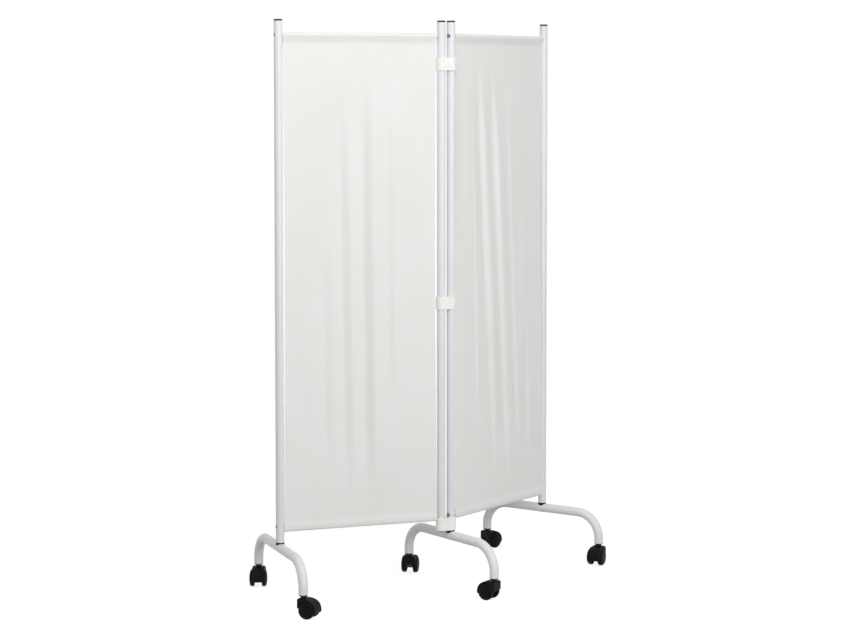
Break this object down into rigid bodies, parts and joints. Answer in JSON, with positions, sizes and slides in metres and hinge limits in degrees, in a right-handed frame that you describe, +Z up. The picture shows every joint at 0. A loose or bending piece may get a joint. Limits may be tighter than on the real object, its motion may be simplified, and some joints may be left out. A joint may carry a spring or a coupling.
{
  "type": "ward privacy screen on wheels",
  "caption": "Folding ward privacy screen: white tube posts joined by rails, fabric curtains, cream plastic hinge clips and bent tube feet on hooded swivel castors.",
  "frame": {"origin": "on the floor, under the middle of the bounding box as pictured", "axes": "+Z up; +X along the left panel from its outer post to its inner post; -Y the pictured front"},
  "size_m": [1.1452, 0.7364, 1.71],
  "materials": {
    "white_painted_steel": "satin white powder coat",
    "black_plastic": "moulded black, low sheen",
    "wheel_plastic": "moulded black, smooth",
    "cream_plastic": "moulded cream white, fine ribs",
    "curtain_cloth": "plain woven off-white cloth, sewn pockets",
    "plain_steel": "plain turned steel"
  },
  "bodies": {
    "left_panel": {"left_outer_post": "white_painted_steel", "left_inner_post": "white_painted_steel", "left_outer_cap": "black_plastic", "left_inner_cap": "black_plastic", "left_inner_bottom_cap": "black_plastic", "left_top_rail": "white_painted_steel", "left_bottom_rail": "white_painted_steel", "left_curtain": "curtain_cloth", "left_foot_arch": "white_painted_steel", "left_saddle": "black_plastic", "left_front_bush": "black_plastic", "left_front_stem": "plain_steel", "left_rear_bush": "black_plastic", "left_rear_stem": "plain_steel"},
    "hinge_clips": {"top_clip": "cream_plastic", "middle_clip": "cream_plastic", "bottom_clip": "cream_plastic"},
    "right_panel": {"right_inner_post": "white_painted_steel", "right_outer_post": "white_painted_steel", "right_inner_cap": "black_plastic", "right_outer_cap": "black_plastic", "right_top_rail": "white_painted_steel", "right_bottom_rail": "white_painted_steel", "right_curtain": "curtain_cloth", "middle_foot_arch": "white_painted_steel", "middle_saddle": "black_plastic", "right_foot_arch": "white_painted_steel", "right_saddle": "black_plastic", "middle_front_bush": "black_plastic", "middle_front_stem": "plain_steel", "middle_rear_bush": "black_plastic", "middle_rear_stem": "plain_steel", "right_front_bush": "black_plastic", "right_front_stem": "plain_steel", "right_rear_bush": "black_plastic", "right_rear_stem": "plain_steel"},
    "left_front_castor": {"left_front_housing": "black_plastic", "left_front_axle": "plain_steel"},
    "left_rear_castor": {"left_rear_housing": "black_plastic", "left_rear_axle": "plain_steel"},
    "middle_front_castor": {"middle_front_housing": "black_plastic", "middle_front_axle": "plain_steel"},
    "middle_rear_castor": {"middle_rear_housing": "black_plastic", "middle_rear_axle": "plain_steel"},
    "right_front_castor": {"right_front_housing": "black_plastic", "right_front_axle": "plain_steel"},
    "right_rear_castor": {"right_rear_housing": "black_plastic", "right_rear_axle": "plain_steel"},
    "left_front_wheel_a": {"left_front_wheel_a": "wheel_plastic"},
    "left_front_wheel_b": {"left_front_wheel_b": "wheel_plastic"},
    "left_rear_wheel_a": {"left_rear_wheel_a": "wheel_plastic"},
    "left_rear_wheel_b": {"left_rear_wheel_b": "wheel_plastic"},
    "middle_front_wheel_a": {"middle_front_wheel_a": "wheel_plastic"},
    "middle_front_wheel_b": {"middle_front_wheel_b": "wheel_plastic"},
    "middle_rear_wheel_a": {"middle_rear_wheel_a": "wheel_plastic"},
    "middle_rear_wheel_b": {"middle_rear_wheel_b": "wheel_plastic"},
    "right_front_wheel_a": {"right_front_wheel_a": "wheel_plastic"},
    "right_front_wheel_b": {"right_front_wheel_b": "wheel_plastic"},
    "right_rear_wheel_a": {"right_rear_wheel_a": "wheel_plastic"},
    "right_rear_wheel_b": {"right_rear_wheel_b": "wheel_plastic"}
  },
  "joints": [
    {"name": "left_hinge", "type": "hinge", "parent": "left_panel", "child": "hinge_clips", "pos_m": [-0.02057, -0.11643, 0.88], "axis": [0, 0, 1], "range_deg": [-63, 57]},
    {"name": "right_hinge", "type": "hinge", "parent": "hinge_clips", "child": "right_panel", "pos_m": [0.01039, -0.11481, 0.88], "axis": [0, 0, 1], "range_deg": [-92, 28]},
    {"name": "left_front_swivel", "type": "hinge", "parent": "left_panel", "child": "left_front_castor", "pos_m": [-0.50413, -0.32077, 0.057], "axis": [0, 0, 1], "continuous": true},
    {"name": "left_rear_swivel", "type": "hinge", "parent": "left_panel", "child": "left_rear_castor", "pos_m": [-0.53701, 0.08791, 0.057], "axis": [0, 0, 1], "continuous": true},
    {"name": "middle_front_swivel", "type": "hinge", "parent": "right_panel", "child": "middle_front_castor", "pos_m": [0.08118, -0.3072, 0.057], "axis": [0, 0, 1], "continuous": true},
    {"name": "middle_rear_swivel", "type": "hinge", "parent": "right_panel", "child": "middle_rear_castor", "pos_m": [-0.06039, 0.07759, 0.057], "axis": [0, 0, 1], "continuous": true},
    {"name": "right_front_swivel", "type": "hinge", "parent": "right_panel", "child": "right_front_castor", "pos_m": [0.55119, 0.01448, 0.057], "axis": [0, 0, 1], "continuous": true},
    {"name": "right_rear_swivel", "type": "hinge", "parent": "right_panel", "child": "right_rear_castor", "pos_m": [0.28874, 0.32948, 0.057], "axis": [0, 0, 1], "continuous": true},
    {"name": "left_front_roll_a", "type": "hinge", "parent": "left_front_castor", "child": "left_front_wheel_a", "pos_m": [-0.49023, -0.33372, 0.025], "axis": [0.682, 0.7314, 0], "continuous": true},
    {"name": "left_front_roll_b", "type": "hinge", "parent": "left_front_castor", "child": "left_front_wheel_b", "pos_m": [-0.49023, -0.33372, 0.025], "axis": [0.682, 0.7314, 0], "continuous": true},
    {"name": "left_rear_roll_a", "type": "hinge", "parent": "left_rear_castor", "child": "left_rear_wheel_a", "pos_m": [-0.54288, 0.06984, 0.025], "axis": [0.9511, -0.309, 0], "continuous": true},
    {"name": "left_rear_roll_b", "type": "hinge", "parent": "left_rear_castor", "child": "left_rear_wheel_b", "pos_m": [-0.54288, 0.06984, 0.025], "axis": [0.9511, -0.309, 0], "continuous": true},
    {"name": "middle_front_roll_a", "type": "hinge", "parent": "middle_front_castor", "child": "middle_front_wheel_a", "pos_m": [0.06948, -0.29222, 0.025], "axis": [-0.788, -0.6157, 0], "continuous": true},
    {"name": "middle_front_roll_b", "type": "hinge", "parent": "middle_front_castor", "child": "middle_front_wheel_b", "pos_m": [0.06948, -0.29222, 0.025], "axis": [-0.788, -0.6157, 0], "continuous": true},
    {"name": "middle_rear_roll_a", "type": "hinge", "parent": "middle_rear_castor", "child": "middle_rear_wheel_a", "pos_m": [-0.05118, 0.0942, 0.025], "axis": [-0.8746, 0.4848, 0], "continuous": true},
    {"name": "middle_rear_roll_b", "type": "hinge", "parent": "middle_rear_castor", "child": "middle_rear_wheel_b", "pos_m": [-0.05118, 0.0942, 0.025], "axis": [-0.8746, 0.4848, 0], "continuous": true},
    {"name": "right_front_roll_a", "type": "hinge", "parent": "right_front_castor", "child": "right_front_wheel_a", "pos_m": [0.53787, 0.00093, 0.025], "axis": [0.7133, -0.7009, 0], "continuous": true},
    {"name": "right_front_roll_b", "type": "hinge", "parent": "right_front_castor", "child": "right_front_wheel_b", "pos_m": [0.53787, 0.00093, 0.025], "axis": [0.7133, -0.7009, 0], "continuous": true},
    {"name": "right_rear_roll_a", "type": "hinge", "parent": "right_rear_castor", "child": "right_rear_wheel_a", "pos_m": [0.3061, 0.33721, 0.025], "axis": [-0.4067, 0.9135, 0], "continuous": true},
    {"name": "right_rear_roll_b", "type": "hinge", "parent": "right_rear_castor", "child": "right_rear_wheel_b", "pos_m": [0.3061, 0.33721, 0.025], "axis": [-0.4067, 0.9135, 0], "continuous": true}
  ]
}
